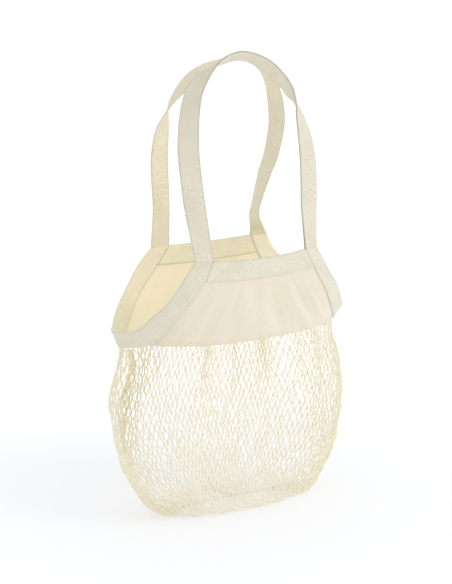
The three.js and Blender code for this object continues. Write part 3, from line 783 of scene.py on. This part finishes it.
def warpNet(around, run):
    fade = np.sin(np.pi * np.clip(run, 0, 1))
    wander = netSlack["wander"] * fade * np.sin(run * 9 + around * 25) * np.sin(around * 44 + 1)
    shifted = around + wander
    for side, sign in (("left", -1), ("right", 1)):
        near = np.exp(-((around - netSlack[side]) / netSlack["driftWidth"]) ** 2)
        shifted = shifted + sign * netSlack["drift"] * run * near
    for at, squeeze, width, first, last, _ in netGathers:
        away, strength = gatherShare(around, run, at, width, first, last)
        shifted = shifted - squeeze * away * strength
    sag = netSlack["sag"] * np.exp(-((around - netSlack["at"]) / netSlack["width"]) ** 2)
    ripple = netSlack["ripple"] * np.sin(around * 61 + run * 6) * np.sin(around * 23 + 2)
    return shifted, run + (sag + ripple) * fade


# yarns that zigzag down the sack and meet their neighbours in knots: for each point its
# column, ring, way outwards, side towards the other yarn of its knot, and nearness to a knot
def netYarns():
    rng = np.random.default_rng(net["seed"])
    columns, rings = net["columns"], net["rings"]
    jitterAround = rng.normal(0, net["jitter"], (rings + 1, columns))
    jitterDown = rng.normal(0, net["jitter"] * 1.3, (rings + 1, columns))
    jitterOut = rng.normal(0, net["bulge"], (rings + 1, columns))
    for edge in (0, -1):
        jitterDown[edge] = jitterAround[edge] = jitterOut[edge] = 0
    yarns = []
    for k in range(2 * columns):
        even, odd = (k + 1) // 2, k // 2
        rows = []
        for ring in range(rings + 1):
            onOdd = ring % 2
            node = (odd if onOdd else even) % columns
            column = odd + 0.5 if onOdd else even
            toOther = 1 if (even < odd + 0.5) != bool(onOdd) else -1
            rows.append([
                column + jitterAround[ring, node], ring + jitterDown[ring, node],
                jitterOut[ring, node], toOther,
            ])
        rows = np.array(rows)
        fine = []
        slack = math.exp(-((k / 2 / columns - netSlack["at"]) / netSlack["width"]) ** 4)
        for a, b in zip(rows, rows[1:]):
            for t, taut, loose in zip(zigzag["heights"], zigzag["taut"], zigzag["slack"]):
                mixed = a + (b - a) * t
                mixed[0] = a[0] + (b[0] - a[0]) * (taut + (loose - taut) * slack)
                near = 1 - min(t, 1 - t) / 0.5
                side = a[3] if t < 0.5 else b[3]
                fine.append([mixed[0], mixed[1], mixed[2], side * near ** 3, near ** 3])
        fine.append([rows[-1][0], rows[-1][1], rows[-1][2], rows[-1][3], 1.0])
        yarns.append(fine)
    return np.array(yarns)


# round sections along every yarn, and how much painted shade each of them gets
def netTubes():
    yarns = netYarns()
    around, run = warpNet(yarns[:, :, 0] / net["columns"], yarns[:, :, 1] / net["rings"])
    step = 0.002
    middle = netPoint(around, run)
    level = netPoint(around + step, run) - netPoint(around - step, run)
    below, above = np.minimum(run, 1 - step) + step, np.maximum(run, step) - step
    down = netPoint(around, below) - netPoint(around, above)
    level /= np.linalg.norm(level, axis=-1, keepdims=True)
    out = np.cross(level, down)
    out /= np.linalg.norm(out, axis=-1, keepdims=True)
    low = np.clip((run - net["thinFrom"]) / net["thinOver"], 0, 1)
    knots = 1 + (net["knot"] - 1) * yarns[:, :, 4]
    radius = net["radius"] * knots * (1 - net["thinBy"] * low)
    apart = yarns[:, :, 3:4] * net["radius"] * net["knotApart"]
    centre = middle + out * yarns[:, :, 2:3] + level * apart
    along = np.gradient(centre, axis=1)
    along /= np.linalg.norm(along, axis=-1, keepdims=True)
    side = np.cross(out, along)
    side /= np.linalg.norm(side, axis=-1, keepdims=True)
    up = np.cross(along, side)
    turns = np.arange(net["sides"]) * 2 * math.pi / net["sides"]
    ring = side[:, :, None] * np.cos(turns)[:, None] + up[:, :, None] * np.sin(turns)[:, None]
    paintedShade = np.zeros_like(around)
    for at, _, width, first, last, tone in netGathers:
        paintedShade = np.maximum(paintedShade, gatherShare(around, run, at, width, first, last)[1] * tone)
    return (centre[:, :, None] + ring * radius[:, :, None, None]) * mm, paintedShade


# open tubes whose ends are hidden in the seams at the top and the bottom
def makeNetPiece(name, tubes, paintedShade):
    count, length, sides = tubes.shape[:3]
    places = np.arange(count), np.arange(length - 1), np.arange(sides)
    k, i, j = np.meshgrid(*places, indexing="ij")

    def corner(section, turn):
        return (k * length + section) * sides + turn % sides

    corners = np.stack(
        [corner(i, j), corner(i, j + 1), corner(i + 1, j + 1), corner(i + 1, j)], -1
    ).ravel()
    starts = np.arange(0, corners.size, 4)
    points = tubes.reshape(-1, 3)
    totals = np.full(len(starts), 4)
    mesh = meshFromArrays(name, points, corners, starts, totals, netString)
    turn = np.stack([j, j + 1, j + 1, j], -1).ravel()
    section = np.stack([i, i, i + 1, i + 1], -1).ravel()
    uv = np.stack([turn / sides, section * net["sectionLength"]], -1)
    mesh.uv_layers.new(name="UVMap").data.foreach_set("uv", uv.ravel())
    creaseShade = mesh.attributes.new("creaseShade", "FLOAT", "POINT")
    creaseShade.data.foreach_set("value", np.repeat(paintedShade, sides).astype(np.float32))
    piece = addObject(name, mesh)
    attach(piece, "root")
    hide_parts("net_body")


tubes, creaseShades = netTubes()
quarter = len(tubes) // 4
for part in range(4):
    own = slice(part * quarter, (part + 1) * quarter)
    makeNetPiece("netPart%d" % (part + 1), tubes[own], creaseShades[own])
print("net ready,", len(tubes), "yarns")


# stitches: copies of one small rounded thread length, joined into one mesh a seam
stitch = {
    "length": 2.5, "radius": 0.3, "pitch": 3.2, "inset": 2.3, "lift": 0.05, "hem": 5.0,
    "whips": 120, "whipReach": 0.86, "whipLength": 4.2, "heavy": 0.35,
    "closingLength": 6.4, "closingPitch": 5.0, "closingLift": 1.2,
}


def stitchTemplate():
    bm = bmesh.new()
    bmesh.ops.create_uvsphere(bm, u_segments=6, v_segments=4, radius=1)
    bmesh.ops.recalc_face_normals(bm, faces=bm.faces)
    # the sphere's points and faces come in an order that varies, so they are sorted by place
    order = Vector((1, 31, 977))
    bm.verts.sort(key=lambda vert: vert.co.dot(order))
    bm.faces.sort(key=lambda face: face.calc_center_median().dot(order))
    mesh = bpy.data.meshes.new("stitchTemplate")
    bm.to_mesh(mesh)
    bm.free()
    points = np.array([vert.co[:] for vert in mesh.vertices])
    corners = np.array([loop.vertex_index for loop in mesh.loops])
    starts = np.array([face.loop_start for face in mesh.polygons])
    totals = np.array([face.loop_total for face in mesh.polygons])
    bpy.data.meshes.remove(mesh)
    return points, corners, starts, totals


template = stitchTemplate()


# spots hold a centre, the way the thread runs and the way the cloth faces
def sewStitches(name, spots, node, length=stitch["length"], radius=stitch["radius"]):
    points, corners, starts, totals = template
    centre, along, out = (np.array(part) for part in zip(*spots))
    along /= np.linalg.norm(along, axis=1, keepdims=True)
    side = np.cross(out, along)
    side /= np.linalg.norm(side, axis=1, keepdims=True)
    out = np.cross(along, side)
    place = centre[:, None] + points[:, 2][None, :, None] * along[:, None] * length / 2
    place = place + points[:, 0][None, :, None] * side[:, None] * radius
    place = place + points[:, 1][None, :, None] * out[:, None] * radius
    count = len(centre)
    copy = np.arange(count)[:, None]
    mesh = meshFromArrays(
        name, (place * mm).reshape(-1, 3), (corners + copy * len(points)).ravel(),
        (starts + copy * len(corners)).ravel(), np.tile(totals, count), seamThread,
    )
    mesh.validate()
    piece = addObject(name, mesh)
    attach(piece, "root")
    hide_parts(node)
    print(name, count, "stitches")


# evenly spaced spots along a line of points with their outward directions
def spotsAlong(line, outs, lift, pitch=stitch["pitch"]):
    line, outs = np.array(line), np.array(outs)
    length = np.r_[0, np.cumsum(np.linalg.norm(np.diff(line, axis=0), axis=1))]
    spots = []
    for at in np.arange(pitch, length[-1] - pitch / 2, pitch):
        centre, ahead, out = (
            np.array([np.interp(value, length, part[:, k]) for k in range(3)])
            for value, part in ((at, line), (at + 0.5, line), (at, outs))
        )
        spots.append((centre + out * lift, ahead - centre, out))
    return spots


# a seam along a folded tape's sewn edge, on both of its walls
def pairSpots(pairs):
    spots = []
    for face in (1, -1):
        line, outs = [], []
        for i, (a, b) in enumerate(pairs):
            out = wallNormal(pairs, i) * face
            line.append(b - unit(b - a) * stitch["inset"] + out * folded["gap"])
            outs.append(out)
        spots += spotsAlong(line, outs, folded["wall"] / 2 + stitch["lift"])
    return spots


# a row of stitches across a folded tape
def rowSpots(pairs, at):
    a, b = pairs[at]
    ends = [a + (b - a) * 0.04, b - (b - a) * 0.04]
    spots = []
    for face in (1, -1):
        outs = [wallNormal(pairs, at) * face] * 2
        spots += spotsAlong(ends, outs, folded["gap"] + folded["wall"] / 2 + stitch["lift"])
    return spots


def hemSpots(back):
    drop = -bag["handleDrop"] - sideEdges(seamAt(back), 1)[1][2]
    station = stationAtDrop(drop - stitch["hem"], back)
    row = 1 - stitch["hem"] / (bag["panelDrop"] - bag["bandHeight"])
    shares = [i / 60 - 1 for i in range(2, 119)]
    spots = []
    for face in (1, -1):
        line, outs = [], []
        for share in shares:
            point = rowPoint(station, share, back)
            out = outwardAt(point)
            line.append(point + out * foldHeight(back, share, row))
            outs.append(out * face)
        spots += spotsAlong(line, outs, panel["thick"] / 2 + stitch["lift"])
    return spots


# thread wound over the cloth's lower edge and the net's first knots
def whipSpots():
    spots = []
    for i in range(stitch["whips"]):
        around = (i + 0.5) / stitch["whips"]
        point = netPoint(np.array([around]), np.array([0.0]))[0]
        if abs(point[0]) < stitch["whipReach"] * bag["mouthHalf"]:  # side tapes cover the rest
            out = outwardAt(point)
            spots.append((point + out * 0.5 + [0, 0, 0.8], np.array([0.25, 0, 1.0]), out))
    return spots


# slanted threads that close the net's bottom
def closingSpots():
    half = netRows[-1][2] * bag["netHalfWidth"]
    height = -bag["handleDrop"] - bag["panelDrop"] - bag["netDrop"] * netRows[-1][1]
    height += stitch["closingLift"]
    return [
        ((x, 0, height), np.array([1.0, 0.35, 0]), np.array([0, 0, -1.0]))
        for x in np.arange(-half, half, stitch["closingPitch"])
    ]


for name, (pairs, node, _) in foldedTapes.items():
    sewStitches(name + "Stitches", pairSpots(pairs), node)
sewStitches("frontHemStitches", hemSpots(False), "front_panel")
sewStitches("backHemStitches", hemSpots(True), "back_panel")
sewStitches("frontFootStitches", rowSpots(handlePairs(frontHandleRows, False), 1), "front_handle")
sewStitches("backFootStitches", rowSpots(handlePairs(backHandleRows, True), 1), "back_handle")
sewStitches("netTopStitches", whipSpots(), "net_body", stitch["whipLength"], stitch["heavy"])
sewStitches(
    "netFootStitches", closingSpots(), "net_body", stitch["closingLength"], stitch["heavy"]
)
print("stitches ready")


# floor, light and backdrop, in metres but for the floor's height; the floor's glow grows from
# near to far: lower near the bag as painted shade round its foot, white backdrop further out
studio = {
    "floor": -673, "floorSize": 30, "floorColour": (0.6, 0.61, 0.64, 1),
    "glowFrom": 0.68, "glowTo": 1.0, "near": 0.38, "far": 0.52, "world": 0.86,
    "key": 20, "keySize": 1.6, "keyPlace": (1.6, -2.1, 1.4), "keyTarget": (0, 0, -0.35),
}
white = (1, 1, 1, 1)


def makeFloor():
    bm = bmesh.new()
    bmesh.ops.create_grid(bm, x_segments=1, y_segments=1, size=studio["floorSize"])
    for vert in bm.verts:
        vert.co.z = studio["floor"] * mm
    mesh = bpy.data.meshes.new("floor")
    bm.to_mesh(mesh)
    bm.free()
    floor = addObject("floor", mesh)
    s = Shader("floorPaper", roughness=1.0, sheen=0.0)
    s.surface.inputs["Base Color"].default_value = studio["floorColour"]
    s.surface.inputs["Emission Color"].default_value = white
    place = s.node("TexCoord").outputs["Object"]
    away = s.node("VectorMath", {0: place}, operation="LENGTH").outputs["Value"]
    # painted shade: less glow near the bag darkens the floor round it
    glow = s.ramp(away, studio["glowFrom"], studio["glowTo"], studio["near"], studio["far"])
    s.tree.links.new(glow, s.surface.inputs["Emission Strength"])
    mesh.materials.append(s.material)


def makeLight():
    world = bpy.data.worlds.new("world")
    world.use_nodes = True
    backdrop = world.node_tree.nodes["Background"]
    backdrop.inputs[0].default_value = white
    backdrop.inputs[1].default_value = studio["world"]
    bpy.context.scene.world = world
    data = bpy.data.lights.new("key", "AREA")
    data.energy = studio["key"]
    data.size = studio["keySize"]
    key = addObject("key", data)
    key.location = studio["keyPlace"]
    aim = Vector(studio["keyTarget"]) - key.location
    key.rotation_euler = aim.to_track_quat("-Z", "Y").to_euler()
    bpy.context.scene.view_settings.view_transform = "Standard"


makeFloor()
makeLight()
print("floor and light ready")
